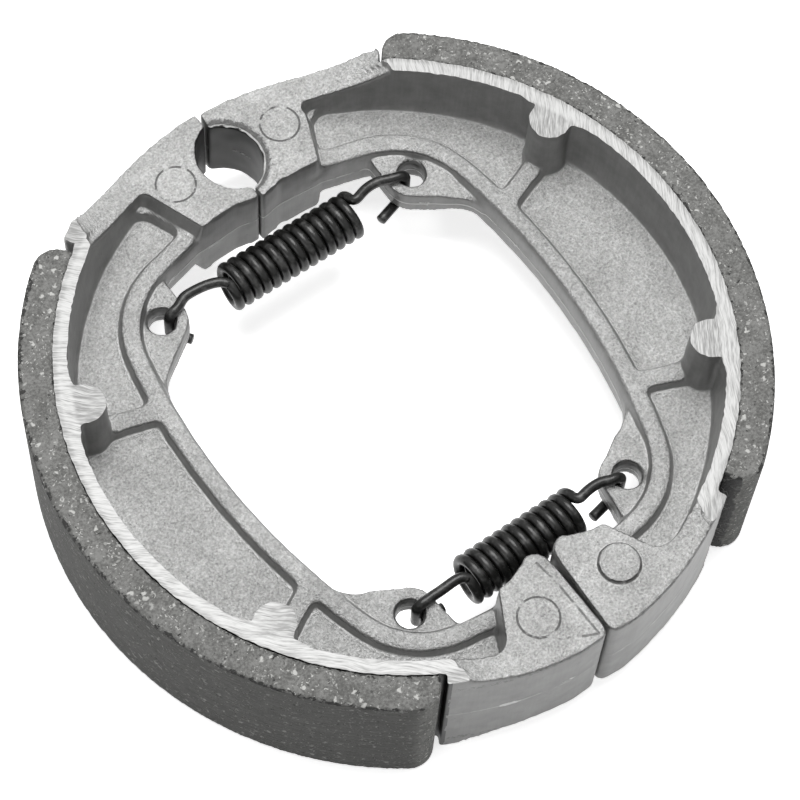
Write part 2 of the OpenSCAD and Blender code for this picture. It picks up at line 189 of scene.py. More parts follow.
    # thin outline inside the edge of the left cam block: each point's distance from the nearest stretch
    for start, end in zip(look["outline"], look["outline"][1:]):
        along = Vector(end) - Vector(start)
        fromStart = addNode(tree, "VectorMath", {"operation": "SUBTRACT"}, {0: flat, 1: (*start, 0)})
        share = addNode(tree, "VectorMath", {"operation": "DOT_PRODUCT"},
                        {0: fromStart, 1: (*(along / along.length_squared), 0)})
        share = addNode(tree, "Math", {"operation": "ADD", "use_clamp": True}, {0: share, 1: 0.0})
        nearest = addNode(tree, "VectorMath", {"operation": "SCALE"}, {0: (*along, 0), "Scale": share})
        off = addNode(tree, "VectorMath", {"operation": "DISTANCE"}, {0: fromStart, 1: nearest})
        line = addNode(tree, "MapRange", smoothStep, {0: off, 1: 0.08, 2: 0.22, 3: 0.8, 4: 0.0})
        top = addNode(tree, "Math", {"operation": "GREATER_THAN"}, {0: z, 1: look["outlineHeight"]})
        line = addNode(tree, "Math", {"operation": "MULTIPLY"}, {0: line, 1: top})
        groove = addNode(tree, "Math", {"operation": "MAXIMUM"}, {0: groove, 1: line})
    groove = addNode(tree, "Math", {"operation": "MULTIPLY"}, {0: groove, 1: ragged})
    grooveTone = addNode(tree, "Math", {"operation": "MULTIPLY"}, {0: groove, 1: 0.85})
    dark = addNode(tree, "Math", {"operation": "MAXIMUM"}, {0: dark, 1: grooveTone})
    # black rubbed off the hooks into their holes, and painted shade darkening the hole walls
    for centre in look["hookHoles"]:
        radius = addNode(tree, "VectorMath", {"operation": "DISTANCE"}, {0: oneSide, 1: (*centre, 0)})
        rub = addNode(tree, "Math", {"operation": "MULTIPLY_ADD"}, {0: ragged, 1: 0.5, 2: radius})
        rub = addNode(tree, "MapRange", smoothStep, {0: rub, 1: 2.1, 2: 2.7, 3: 0.75, 4: 0.0})
        dark = addNode(tree, "Math", {"operation": "MAXIMUM"}, {0: dark, 1: rub})
    # the dark marks and the hook holes take one dark grey: stain, and painted shade inside the holes
    shade = addNode(tree, "Mix", colourMix, {0: dark, 6: shade, 7: linearColour(look["stainAndShade"])})

    # the bore wall painted dark: painted shade and a painted dark reflection
    fromBore = addNode(tree, "VectorMath", {"operation": "DISTANCE"},
                       {0: oneSide, 1: (*look["boreCentre"], 0)})
    bore = addNode(tree, "MapRange", smoothStep, {0: fromBore, 1: 6.7, 2: 7.0, 3: 1.0, 4: 0.0})
    bore = addNode(tree, "Math", {"operation": "MULTIPLY"}, {0: bore, 1: flank})
    shade = addNode(tree, "Mix", colourMix, {0: bore, 6: shade, 7: linearColour(look["bore"])})
    # torn chamfer round the right half of the bore: a dark ragged edge, and a bright lip
    rightTop = addNode(tree, "Math", {"operation": "GREATER_THAN"}, {0: x, 1: 0.2})
    rightTop = addNode(tree, "Math", {"operation": "MULTIPLY"}, {0: rightTop, 1: skin})
    torn = addNode(tree, "Math", {"operation": "MULTIPLY_ADD"}, {0: pitNoise, 1: 2.0, 2: fromBore})
    torn = addNode(tree, "MapRange", smoothStep, {0: torn, 1: 8.25, 2: 8.7, 3: 0.8, 4: 0.0})
    torn = addNode(tree, "Math", {"operation": "MULTIPLY"}, {0: torn, 1: rightTop})
    shade = addNode(tree, "Mix", colourMix, {0: torn, 6: shade, 7: linearColour(look["stainAndShade"])})
    lip = addNode(tree, "MapRange", smoothStep, {0: fromBore, 1: 6.72, 2: 6.82, 3: 0.85, 4: 0.0})
    lip = addNode(tree, "Math", {"operation": "MULTIPLY"}, {0: lip, 1: rightTop})

    # flash on the parting line, rubbed bright in places
    parting = addNode(tree, "MapRange", smoothStep, {0: height, 1: 0.05, 2: 0.22, 3: 1.0, 4: 0.0})
    parting = addNode(tree, "Math", {"operation": "MULTIPLY"}, {0: parting, 1: flank})
    wide = addNode(tree, "MapRange", smoothStep, {0: height, 1: 0.25, 2: 0.7, 3: 1.0, 4: 0.0})
    spots = addNode(tree, "TexNoise", {}, {"Vector": place, "Scale": 1 / look["spotSize"],
                                           "Detail": 4.0, "Roughness": 0.65})
    rubbed = addNode(tree, "MapRange", smoothStep, {0: spots, 1: 0.6, 2: 0.68})
    rubbed = addNode(tree, "Math", {"operation": "MULTIPLY"}, {0: rubbed, 1: wide})
    rubbed = addNode(tree, "Math", {"operation": "MULTIPLY"}, {0: rubbed, 1: flank})
    # the line is plain inside the ring of shoes, faint outside it, and gone in the bore
    fromAxis = addNode(tree, "VectorMath", {"operation": "LENGTH"}, {0: flat})
    inside = addNode(tree, "Math", {"operation": "LESS_THAN"}, {0: fromAxis, 1: look["insideOfRing"]})
    some = addNode(tree, "MapRange", smoothStep, {0: spots, 1: 0.4, 2: 0.55, 4: 0.6})
    most = addNode(tree, "MapRange", smoothStep, {0: spots, 1: 0.3, 2: 0.45, 4: 0.9})
    some = addNode(tree, "Mix", {}, {0: inside, 2: some, 3: most})
    outsideBore = addNode(tree, "Math", {"operation": "SUBTRACT"}, {0: 1.0, 1: bore})
    some = addNode(tree, "Math", {"operation": "MULTIPLY"}, {0: some, 1: outsideBore})
    parting = addNode(tree, "Math", {"operation": "MULTIPLY"}, {0: parting, 1: some})
    flash = addNode(tree, "Math", {"operation": "MAXIMUM"}, {0: parting, 1: rubbed})
    # longer bright rubs at the cam end, each a flattened spot with a ragged edge
    for rubX, rubY, rubZ, reach in look["rubs"]:
        stretched = addNode(tree, "VectorMath", {"operation": "MULTIPLY"},
                            {0: place, 1: (1, 1, look["rubFlatness"])})
        off = addNode(tree, "VectorMath", {"operation": "DISTANCE"},
                      {0: stretched, 1: (rubX, rubY, rubZ * look["rubFlatness"])})
        off = addNode(tree, "Math", {"operation": "MULTIPLY_ADD"}, {0: pitNoise, 1: 3.0, 2: off})
        rub = addNode(tree, "MapRange", smoothStep, {0: off, 1: reach + 1.1, 2: reach + 1.5, 3: 1.0, 4: 0.0})
        flash = addNode(tree, "Math", {"operation": "MAXIMUM"}, {0: flash, 1: rub})
    flash = addNode(tree, "Math", {"operation": "MAXIMUM"}, {0: flash, 1: lip})
    shade = addNode(tree, "Mix", colourMix, {0: flash, 6: shade, 7: linearColour(look["flash"])})

    # black glue in the gap at the cam end of the left lining
    angle = math.radians(look["glueEnd"])
    out = addNode(tree, "Math", {"operation": "SUBTRACT"}, {0: arcShift, 1: x})
    fromCentre = addNode(tree, "CombineXYZ", {}, {0: out, 1: y})
    fromEnd = addNode(tree, "VectorMath", {"operation": "DOT_PRODUCT"},
                      {0: fromCentre, 1: (-math.sin(angle), math.cos(angle), 0)})
    fromEnd = addNode(tree, "Math", {"operation": "MULTIPLY_ADD"}, {0: ragged, 1: 0.3, 2: fromEnd})
    radius = addNode(tree, "VectorMath", {"operation": "LENGTH"}, {0: fromCentre})
    atEnd = addNode(tree, "Math", {"operation": "GREATER_THAN"}, {0: fromEnd, 1: -0.25})
    atSeat = addNode(tree, "Math", {"operation": "GREATER_THAN"}, {0: radius, 1: look["glueFrom"]})
    camHalf = addNode(tree, "Math", {"operation": "LESS_THAN"}, {0: y, 1: 0.0})
    gap = addNode(tree, "Math", {"operation": "MULTIPLY"}, {0: atEnd, 1: atSeat})
    gap = addNode(tree, "Math", {"operation": "MULTIPLY"}, {0: gap, 1: camHalf})
    shade = addNode(tree, "Mix", colourMix, {0: gap, 6: shade, 7: linearColour(look["glue"])})

    relief = addNode(tree, "Math", {"operation": "MULTIPLY_ADD"}, {0: grain, 1: 0.5, 2: stipple})
    relief = addNode(tree, "Math", {"operation": "MULTIPLY"}, {0: relief, 1: skin})
    relief = addNode(tree, "Math", {"operation": "MULTIPLY_ADD"}, {0: groove, 1: -0.5, 2: relief})
    relief = addNode(tree, "Math", {"operation": "MULTIPLY_ADD"}, {0: flash, 1: 0.35, 2: relief})
    relief = addNode(tree, "Math", {"operation": "MULTIPLY_ADD"}, {0: drag, 1: 0.03, 2: relief})
    bump = addNode(tree, "Bump", {}, {"Strength": 1.0, "Distance": look["stippleDepth"] * mm,
                                      "Height": relief})
    shader = addNode(tree, "BsdfPrincipled", {}, {"Base Color": shade, "Metallic": look["metal"],
                                                  "Roughness": look["roughness"], "Normal": bump})
    addNode(tree, "OutputMaterial", {}, {0: shader})
    return material


# Freshly cut aluminium: bright, with the cutter's strokes running straight over each shoe at one slant
cutLook = {"bright": "B8B8B7", "line": "7A7A79", "roughness": 0.55, "metal": 0.3,
           "strokeWidth": 0.14, "strokeLength": 2.0, "strokeDepth": 0.03, "swaySize": 9, "sway": 3,
           "leftSlant": 42.0, "rightSlant": -60.0, "rimMiddle": 48.6}


def cutAluminium():
    look = cutLook
    material, tree = newMaterial("machined aluminium")
    place, x, y, z = placeInMm(tree)
    radius, run = roundTheArc(tree, x, y)
    rightShoe = addNode(tree, "Math", {"operation": "GREATER_THAN"}, {0: x, 1: 0.0})
    left = math.radians(look["leftSlant"])
    turnOver = math.radians(look["rightSlant"] - look["leftSlant"])
    slant = addNode(tree, "Math", {"operation": "MULTIPLY_ADD"}, {0: rightShoe, 1: turnOver, 2: left})
    turned = addNode(tree, "VectorRotate", {"rotation_type": "Z_AXIS"}, {"Vector": place, "Angle": slant})
    sway = addNode(tree, "TexNoise", {}, {"Vector": place, "Scale": 1 / look["swaySize"]})
    sway = addNode(tree, "VectorMath", {"operation": "SCALE"}, {0: (0, look["sway"], 0), "Scale": sway})
    turned = addNode(tree, "VectorMath", {"operation": "ADD"}, {0: turned, 1: sway})
    strokes = addNode(tree, "VectorMath", {"operation": "MULTIPLY"},
                      {0: turned, 1: (1 / look["strokeLength"], 1 / look["strokeWidth"], 0)})
    fine = addNode(tree, "TexNoise", {}, {"Vector": strokes, "Scale": 1.0, "Detail": 2.0, "Roughness": 0.65})
    coarse = addNode(tree, "TexNoise", {}, {"Vector": strokes, "Scale": 0.35,
                                            "Detail": 2.0, "Roughness": 0.6})
    scored = addNode(tree, "Math", {"operation": "MULTIPLY"}, {0: fine, 1: 0.55})
    scored = addNode(tree, "Math", {"operation": "MULTIPLY_ADD"}, {0: coarse, 1: 0.45, 2: scored})
    # torn deeper where the cutter leaves the metal, along both edges of the rim
    fromMiddle = addNode(tree, "Math", {"operation": "SUBTRACT"}, {0: radius, 1: look["rimMiddle"]})
    fromMiddle = addNode(tree, "Math", {"operation": "ABSOLUTE"}, {0: fromMiddle})
    edge = addNode(tree, "MapRange", smoothStep, {0: fromMiddle, 1: 0.5, 2: 1.3, 4: 0.08})
    scored = addNode(tree, "Math", {"operation": "SUBTRACT"}, {0: scored, 1: edge})
    tone = addNode(tree, "MapRange", smoothStep, {0: scored, 1: 0.3, 2: 0.58})
    shade = addNode(tree, "Mix", colourMix,
                    {0: tone, 6: linearColour(look["line"]), 7: linearColour(look["bright"])})
    bump = addNode(tree, "Bump", {}, {"Strength": 0.8, "Distance": look["strokeDepth"] * mm,
                                      "Height": scored})
    shader = addNode(tree, "BsdfPrincipled", {}, {"Base Color": shade, "Metallic": look["metal"],
                                                  "Roughness": look["roughness"], "Normal": bump})
    addNode(tree, "OutputMaterial", {}, {0: shader})
    return material


# Moulded friction material: resin, fibre and chips of metal and rubber, sawn on its sides and ground
# round outside, so it looks like dull dark stone with pale and black flecks
liningLook = {
    "matrix": "848482", "dark": "5A5A58", "chip": "CACAC7", "hole": "2A2A29", "glue": "121211",
    "smear": "8A8A88", "roughness": 0.85, "gloss": 0.4,
    "grainSize": 0.36, "reliefDepth": 0.12, "cloudSize": 3,
    "grindLength": 3.0, "grindWidth": 0.3, "flankTone": 0.86, "endFaceLight": 2.6, "endLightBelow": 12.1,
    "chipSize": 1.3, "chipBend": 1.4, "crumbSize": 0.9, "blobSize": 3, "stringSize": 3.5}


def frictionMaterial(name, camEnd, gluedReach):
    look = liningLook
    material, tree = newMaterial(name)
    place, x, y, z = placeInMm(tree)
    radius, run = roundTheArc(tree, x, y)
    height = addNode(tree, "Math", {"operation": "ABSOLUTE"}, {0: z})
    outer = addNode(tree, "MapRange", smoothStep, {0: radius, 1: 54.4, 2: 54.85})
    grain = addNode(tree, "TexNoise", {}, {"Vector": place, "Scale": 1 / look["grainSize"],
                                           "Detail": 3.0, "Roughness": 0.65})
    cloud = addNode(tree, "TexNoise", {}, {"Vector": place, "Scale": 1 / look["cloudSize"], "Detail": 2.0})
    tone = addNode(tree, "Math", {"operation": "MULTIPLY"}, {0: grain, 1: 0.7})
    tone = addNode(tree, "Math", {"operation": "MULTIPLY_ADD"}, {0: cloud, 1: 0.3, 2: tone})
    # grinding marks run round the outer face
    alongGrind = addNode(tree, "Math", {"operation": "DIVIDE"}, {0: run, 1: look["grindLength"]})
    acrossGrind = addNode(tree, "Math", {"operation": "DIVIDE"}, {0: z, 1: look["grindWidth"]})
    ground = addNode(tree, "CombineXYZ", {}, {0: alongGrind, 1: acrossGrind})
    grinding = addNode(tree, "TexNoise", {}, {"Vector": ground, "Scale": 1.0,
                                              "Detail": 3.0, "Roughness": 0.6})
    groundShare = addNode(tree, "Math", {"operation": "MULTIPLY"}, {0: outer, 1: 0.6})
    tone = addNode(tree, "Mix", {}, {0: groundShare, 2: tone, 3: grinding})
    tone = addNode(tree, "MapRange", smoothStep, {0: tone, 1: 0.36, 2: 0.64})
    shade = addNode(tree, "Mix", colourMix,
                    {0: tone, 6: linearColour(look["dark"]), 7: linearColour(look["matrix"])})
    darker = addNode(tree, "MapRange", {}, {0: outer, 3: 1.0, 4: look["flankTone"]})
    shade = addNode(tree, "VectorMath", {"operation": "SCALE"}, {0: shade, "Scale": darker})

    # pale chips of two sizes, bent out of round: size, reach of a chip in its cell, and how rare it is
    bend = addNode(tree, "TexNoise", {}, {"Vector": place, "Scale": 1.4, "Detail": 2.0})
    bent = addNode(tree, "VectorMath", {"operation": "MULTIPLY_ADD"},
                   {0: bend.outputs["Color"], 1: (look["chipBend"],) * 3, 2: place})
    pale = 0.0
    for size, reach, rare in ((look["chipSize"], 0.34, 0.62), (look["chipSize"] * 0.4, 0.36, 0.55)):
        cells = addNode(tree, "TexVoronoi", {}, {"Vector": bent, "Scale": 1 / size, "Randomness": 1.0})
        pick = addNode(tree, "SeparateXYZ", {}, {0: cells.outputs["Color"]})
        chosen = addNode(tree, "MapRange", smoothStep, {0: pick.outputs[0], 1: rare, 2: rare + 0.2})
        chip = addNode(tree, "MapRange", smoothStep,
                       {0: cells.outputs["Distance"], 1: reach * 0.5, 2: reach, 3: 0.85, 4: 0.0})
        chip = addNode(tree, "Math", {"operation": "MULTIPLY"}, {0: chip, 1: chosen})
        pale = addNode(tree, "Math", {"operation": "MAXIMUM"}, {0: pale, 1: chip})
    shade = addNode(tree, "Mix", colourMix, {0: pale, 6: shade, 7: linearColour(look["chip"])})

    # crumbled pits: a few anywhere, and more along the outer edge and the seam with the shoe
    crumbs = addNode(tree, "TexNoise", {}, {"Vector": place, "Scale": 1 / look["crumbSize"],
                                            "Detail": 3.0, "Roughness": 0.65})
    nearOuter = addNode(tree, "MapRange", smoothStep, {0: radius, 1: 54.2, 2: 54.7})
    nearSide = addNode(tree, "MapRange", smoothStep, {0: height, 1: 11.3, 2: 12.0})
    atEdge = addNode(tree, "Math", {"operation": "MULTIPLY"}, {0: nearOuter, 1: nearSide})
    atEdge = addNode(tree, "Math", {"operation": "MULTIPLY"}, {0: atEdge, 1: 0.16})
    seam = addNode(tree, "MapRange", smoothStep, {0: radius, 1: 50.1, 2: 50.6, 3: 1.0, 4: 0.0})
    seam = addNode(tree, "Math", {"operation": "MULTIPLY"}, {0: seam, 1: 0.12})
    worn = addNode(tree, "Math", {"operation": "MAXIMUM"}, {0: atEdge, 1: seam})
    pits = addNode(tree, "Math", {"operation": "ADD"}, {0: crumbs, 1: worn})
    pits = addNode(tree, "MapRange", smoothStep, {0: pits, 1: 0.66, 2: 0.71, 4: 0.9})
    shade = addNode(tree, "Mix", colourMix, {0: pits, 6: shade, 7: linearColour(look["hole"])})

    # painted light: the cam end face and its round corner are made paler, and the flat sides are left as they
    # are
    angle = math.radians(camEnd)
    side = addNode(tree, "Math", {"operation": "ABSOLUTE"}, {0: x})
    out = addNode(tree, "Math", {"operation": "ADD"}, {0: side, 1: arcShift})
    fromCentre = addNode(tree, "CombineXYZ", {}, {0: out, 1: y})
    fromEnd = addNode(tree, "VectorMath", {"operation": "DOT_PRODUCT"},
                      {0: fromCentre, 1: (-math.sin(angle), math.cos(angle), 0)})
    endLight = addNode(tree, "MapRange", smoothStep, {0: fromEnd, 1: 1.5, 2: 4.5, 3: look["endFaceLight"], 4: 1.0})
    below = addNode(tree, "Math", {"operation": "LESS_THAN"}, {0: height, 1: look["endLightBelow"]})
    endLight = addNode(tree, "Mix", {}, {0: below, 2: 1.0, 3: endLight})
    shade = addNode(tree, "VectorMath", {"operation": "SCALE"}, {0: shade, "Scale": endLight})
    # black glue squeezed out over the cam end, with pale strings and smears in it
    blob = addNode(tree, "TexNoise", {}, {"Vector": place, "Scale": 1 / look["blobSize"],
                                          "Detail": 3.0, "Roughness": 0.6})
    glueEdge = addNode(tree, "Math", {"operation": "SUBTRACT"}, {0: radius, 1: 1.2})
    glueEdge = addNode(tree, "Math", {"operation": "MULTIPLY_ADD"}, {0: blob, 1: 2.4, 2: glueEdge})
    glue = addNode(tree, "MapRange", smoothStep,
                   {0: glueEdge, 1: gluedReach - 0.15, 2: gluedReach + 0.15, 3: 1.0, 4: 0.0})
    atEnd = addNode(tree, "MapRange", smoothStep, {0: fromEnd, 1: 0.35, 2: 0.6, 3: 1.0, 4: 0.0})
    glue = addNode(tree, "Math", {"operation": "MULTIPLY"}, {0: glue, 1: atEnd})
    string = addNode(tree, "TexNoise", {}, {"Vector": place, "Scale": 1 / look["stringSize"],
                                            "Detail": 2.0, "Distortion": 1.5})
    string = addNode(tree, "Math", {"operation": "COMPARE"}, {0: string, 1: 0.5, 2: 0.02})
    string = addNode(tree, "Math", {"operation": "MULTIPLY"}, {0: string, 1: 0.9})
    smeared = addNode(tree, "MapRange", smoothStep, {0: crumbs, 1: 0.5, 2: 0.75, 4: 0.3})
    string = addNode(tree, "Math", {"operation": "MAXIMUM"}, {0: string, 1: smeared})
    glueShade = addNode(tree, "Mix", colourMix,
                        {0: string, 6: linearColour(look["glue"]), 7: linearColour(look["smear"])})
    shade = addNode(tree, "Mix", colourMix, {0: glue, 6: shade, 7: glueShade})
    rough = addNode(tree, "Math", {"operation": "MULTIPLY_ADD"}, {0: glue, 1: -0.15, 2: look["roughness"]})

    relief = addNode(tree, "Math", {"operation": "MULTIPLY_ADD"}, {0: pale, 1: 0.4, 2: grain})
    relief = addNode(tree, "Math", {"operation": "MULTIPLY_ADD"}, {0: pits, 1: -1.2, 2: relief})
    bump = addNode(tree, "Bump", {}, {"Strength": 1.0, "Distance": look["reliefDepth"] * mm,
                                      "Height": relief})
    shader = addNode(tree, "BsdfPrincipled", {}, {"Base Color": shade, "Roughness": rough,
                                                  "Specular IOR Level": look["gloss"], "Normal": bump})
    addNode(tree, "OutputMaterial", {}, {0: shader})
    return material


# Spring steel wire, oil blackened: near black with a soft oily shine, rubbed to grey in patches
wireLook = {"black": "161615", "rubbed": "444443", "roughness": 0.32, "metal": 0.3,
            "patchSize": 1.6, "grainSize": 0.35, "grainDepth": 0.03}


def blackenedWire():
    look = wireLook
    material, tree = newMaterial("oil blackened spring steel")
    place, x, y, z = placeInMm(tree)
    patches = addNode(tree, "TexNoise", {}, {"Vector": place, "Scale": 1 / look["patchSize"],
                                             "Detail": 4.0, "Roughness": 0.65})
    rubbed = addNode(tree, "MapRange", smoothStep, {0: patches, 1: 0.48, 2: 0.7})
    shade = addNode(tree, "Mix", colourMix,
                    {0: rubbed, 6: linearColour(look["black"]), 7: linearColour(look["rubbed"])})
    rough = addNode(tree, "MapRange", {}, {0: patches, 1: 0.3, 2: 0.7,
                                           3: look["roughness"] - 0.08, 4: look["roughness"] + 0.1})
    fine = addNode(tree, "TexNoise", {}, {"Vector": place, "Scale": 1 / look["grainSize"], "Detail": 2.0})
    bump = addNode(tree, "Bump", {}, {"Strength": 0.5, "Distance": look["grainDepth"] * mm, "Height": fine})
    shader = addNode(tree, "BsdfPrincipled", {}, {"Base Color": shade, "Metallic": look["metal"],
                                                  "Roughness": rough, "Normal": bump})
    addNode(tree, "OutputMaterial", {}, {0: shader})
    return material


castSkin = castAluminium()
cutSkin = cutAluminium()
wireSkin = blackenedWire()
print("materials made")


def copyNode(nodeName, pieceName):
    piece = bpy.data.objects.new(pieceName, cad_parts[nodeName].data.copy())
    bpy.context.scene.collection.objects.link(piece)
    piece.data.materials.clear()
    return piece


def remeshed(piece, voxel):
    # one skin of even quads over the whole solid
    modifier = piece.modifiers.new("skin", "REMESH")
    modifier.mode = "VOXEL"
    modifier.voxel_size = voxel
    modifier.use_smooth_shade = True
    graph = bpy.context.evaluated_depsgraph_get()
    mesh = bpy.data.meshes.new_from_object(piece.evaluated_get(graph))
    piece.modifiers.clear()
    piece.data = mesh


def soften(shape, times):
    # rounds the edges and fills the corners
    for step in range(times):
        bmesh.ops.smooth_vert(shape, verts=shape.verts, factor=0.5,
                              use_axis_x=True, use_axis_y=True, use_axis_z=True)


def ramp(value, low, high):
    # rises from 0 at low to 1 at high
    return min(max((value - low) / (high - low), 0), 1)


# Sizes in millimetres on the shoe, places with X counted outwards from the joint line, angles in degrees.
# Of two distances or levels in brackets, a change starts at the first and is complete at the second
castShape = {
    "voxel": 0.42 * mm, "smoothing": 2, "sideStock": 1.07, "insideRim": 49.2, "boreCentre": (-1.7, 43.15),
    # ripple of the skin, and edges torn by the cutter
    "ripple": 0.05, "rippleSize": 2.2, "tear": 0.16, "tearSize": 0.8, "tearReach": 0.8,
    # lean of the walls for each millimetre of height, and what it keeps off
    "draft": 0.035, "offBore": 7.2, "offJoint": (3, 4), "offPosts": (4.2, 5.6), "pad": (8.14, -43.5),
    "postRadius": 46.1, "postAngles": {"left_side": (23, -32.2), "right_side": (24, -30.8)},
    # pocket floors, from the ears outwards
    "floorDrop": 0.5, "floorLevels": (2.2, 3.8), "earReach": (5.5, 7.5),
    "springHoles": ((22.5, 27.7), (19.2, -30.7)),
    # right casting: pocket wall beside the anchor block, shoulder at the lining, and chamfer of the bore
    "pocketFoot": (10.6, 34.9), "pocketHead": (14.3, 44.2), "pocketReach": 2.2,
    "pocketEnds": (-1, 0, 8.5, 9.5), "pocketShift": (-0.3, 0.65), "pocketLevels": (2.2, 6.75),
    "shoulderRadius": 50.2, "shoulderAngles": (57.0, 60), "shoulderShift": 0.85,
    "boreTop": 6.75, "chamferRadius": 7.6, "chamferSlope": 0.6, "chamferTear": 0.25,
    "chamferTearSize": 0.9, "chamferOver": 0.3}
# Metal that the right casting has besides, a wider rail at the anchor block: its outline, and its half height
widerRail = ((12.3, 39.5), (12.85, 38.95), (13.4, 38.3), (14.3, 37.8), (15.8, 37.35), (18.6, 36.7),
             (21.9, 35.6), (24.4, 33.6), (22.0, 33.9), (17.0, 35.2), (12.6, 36.0), (11.2, 37.4))
addedMetal = {"left_side": (), "right_side": ((widerRail, 3.7),)}


def fillMould(piece, body):
    # the solid, with stock left on its sides for the cutter to take off again, and the added metal
    shape = bmesh.new()
    shape.from_mesh(piece.data)
    bmesh.ops.remove_doubles(shape, verts=shape.verts, dist=1e-6)
    for vert in shape.verts:
        if abs(vert.co.z) > (halfWidth - 0.05) * mm:
            vert.co.z *= castShape["sideStock"]
    for outline, reach in addedMetal[body]:
        corners = [shape.verts.new((x * mm, y * mm, -reach * mm)) for x, y in outline]
        grown = bmesh.ops.extrude_face_region(shape, geom=[shape.faces.new(corners)], use_keep_orig=True)
        top = [item for item in grown["geom"] if isinstance(item, bmesh.types.BMVert)]
        bmesh.ops.translate(shape, verts=top, vec=(0, 0, 2 * reach * mm))
    shape.to_mesh(piece.data)
    shape.free()
    remeshed(piece, castShape["voxel"])


def draftWall(vert, out, posts):
    # walls lean in from the parting line to both sides, but not posts, pads or the faces where the shoes meet
    cast = castShape
    wall = Vector((vert.normal.x, vert.normal.y, 0))
    nearest = min((out.xy / mm - Vector(spot)).length for spot in (*posts, cast["pad"]))
    share = ramp(nearest, *cast["offPosts"]) * ramp(abs(vert.co.x) / mm, *cast["offJoint"])
    vert.co -= wall * abs(vert.co.z) * cast["draft"] * share


def leanPocketWall(vert):
    # the pocket wall beside the right anchor block is steeper than the left one
    cast = castShape
    foot = Vector(cast["pocketFoot"])
    along = (Vector(cast["pocketHead"]) - foot).normalized()
    away = Vector((along.y, -along.x))
    place = vert.co.xy / mm - foot
    start, full, easing, end = cast["pocketEnds"]
    near = max(1 - abs(place.dot(away)) / cast["pocketReach"], 0)
    near *= ramp(place.dot(along), start, full) * (1 - ramp(place.dot(along), easing, end))
    level = ramp(abs(vert.co.z) / mm, *cast["pocketLevels"])
    atFoot, atHead = cast["pocketShift"]
    vert.co += (away * near * (atFoot * (1 - level) + atHead * level) * mm).to_3d()


def closeShoulder(vert, angle):
    # the right casting's shoulder comes up against its lining
    start, end = castShape["shoulderAngles"]
    turn = math.radians(castShape["shoulderShift"] * (end - angle) / (end - start))
    centre = Vector((-arcShift * mm, 0, 0))
    vert.co = Matrix.Rotation(-turn, 3, "Z") @ (vert.co - centre) + centre


def dropFloor(vert):
    # pocket floors lie deeper than the ears, and their flanks grow with them
    cast = castShape
    place = Vector((abs(vert.co.x), vert.co.y)) / mm
    fromEar = min((place - Vector(spot)).length for spot in cast["springHoles"])
    floor, crest = cast["floorLevels"]
    height = abs(vert.co.z) / mm
    sunk = height / floor if height < floor else 1 - ramp(height, floor, crest)
    vert.co.z -= math.copysign(cast["floorDrop"] * ramp(fromEar, *cast["earReach"]) * sunk * mm, vert.co.z)


def tearChamfer(vert, fromBore):
    # a chamfer torn round the right half of the bore
    cast = castShape
    limit = cast["boreTop"] - (cast["chamferRadius"] - fromBore) * cast["chamferSlope"]
    limit += cast["chamferTear"] * noise.noise(vert.co / (cast["chamferTearSize"] * mm))
    if limit * mm < abs(vert.co.z) < (cast["boreTop"] + cast["chamferOver"]) * mm:
        vert.co.z = math.copysign(limit * mm, vert.co.z)


def machineSides(shape):
    # both sides cut flat, with the cut faces in the second material
    for up in (1, -1):
        cut = bmesh.ops.bisect_plane(shape, geom=shape.verts[:] + shape.edges[:] + shape.faces[:], dist=1e-7,
                                     plane_co=(0, 0, up * halfWidth * mm), plane_no=(0, 0, up),
                                     clear_outer=True)
        rim = [item for item in cut["geom_cut"] if isinstance(item, bmesh.types.BMEdge)]
        filled = bmesh.ops.triangle_fill(shape, edges=rim, use_beauty=True, use_dissolve=False,
                                         normal=(0, 0, up))
        for face in [item for item in filled["geom"] if isinstance(item, bmesh.types.BMFace)]:
            face.smooth = False
            face.material_index = 1
        for edge in rim:
            edge.smooth = False


def castShoe(nodeName, pieceName, body):
    cast = castShape
    piece = copyNode(nodeName, pieceName)
    fillMould(piece, body)
    shape = bmesh.new()
    shape.from_mesh(piece.data)
    soften(shape, cast["smoothing"])
    shape.normal_update()
    angles = [math.radians(angle) for angle in cast["postAngles"][body]]
    posts = [cast["postRadius"] * Vector((math.cos(angle), math.sin(angle))) for angle in angles]
    boreX, boreY = cast["boreCentre"]
    shoulderStart, shoulderEnd = cast["shoulderAngles"]
    rightShoe = body == "right_side"
    for vert in shape.verts:
        out = Vector((abs(vert.co.x) + arcShift * mm, vert.co.y, 0))
        angle = math.degrees(math.atan2(out.y, out.x))
        fromBore = math.hypot(abs(vert.co.x) / mm - boreX, vert.co.y / mm - boreY)
        inside = out.length < cast["insideRim"] * mm
        if inside and fromBore > cast["offBore"]:
            draftWall(vert, out, posts)
        if rightShoe and abs(vert.co.z) > cast["pocketLevels"][0] * mm:
            leanPocketWall(vert)
        if rightShoe and out.length > cast["shoulderRadius"] * mm and shoulderStart < angle < shoulderEnd:
            closeShoulder(vert, angle)
        if inside:
            dropFloor(vert)
        vert.co += vert.normal * noise.noise(vert.co / (cast["rippleSize"] * mm)) * cast["ripple"] * mm
        # ragged where the cutter ran out of the metal
        if abs(vert.co.z) > (halfWidth - cast["tearReach"]) * mm:
            vert.co += vert.normal * noise.noise(vert.co / (cast["tearSize"] * mm)) * cast["tear"] * mm
        if rightShoe and fromBore < cast["chamferRadius"]:
            tearChamfer(vert, fromBore)
    for face in shape.faces:
        face.smooth = True
        face.material_index = 0
    machineSides(shape)
    bmesh.ops.recalc_face_normals(shape, faces=shape.faces)
    shape.to_mesh(piece.data)
    shape.free()
    piece.data.materials.append(castSkin)
    piece.data.materials.append(cutSkin)
    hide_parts(nodeName)
    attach(piece, body)
    print(pieceName, "cast and machined", len(piece.data.polygons))


castShoe("left_shoe", "left_shoe_casting", "left_side")
castShoe("right_shoe", "right_shoe_casting", "right_side")


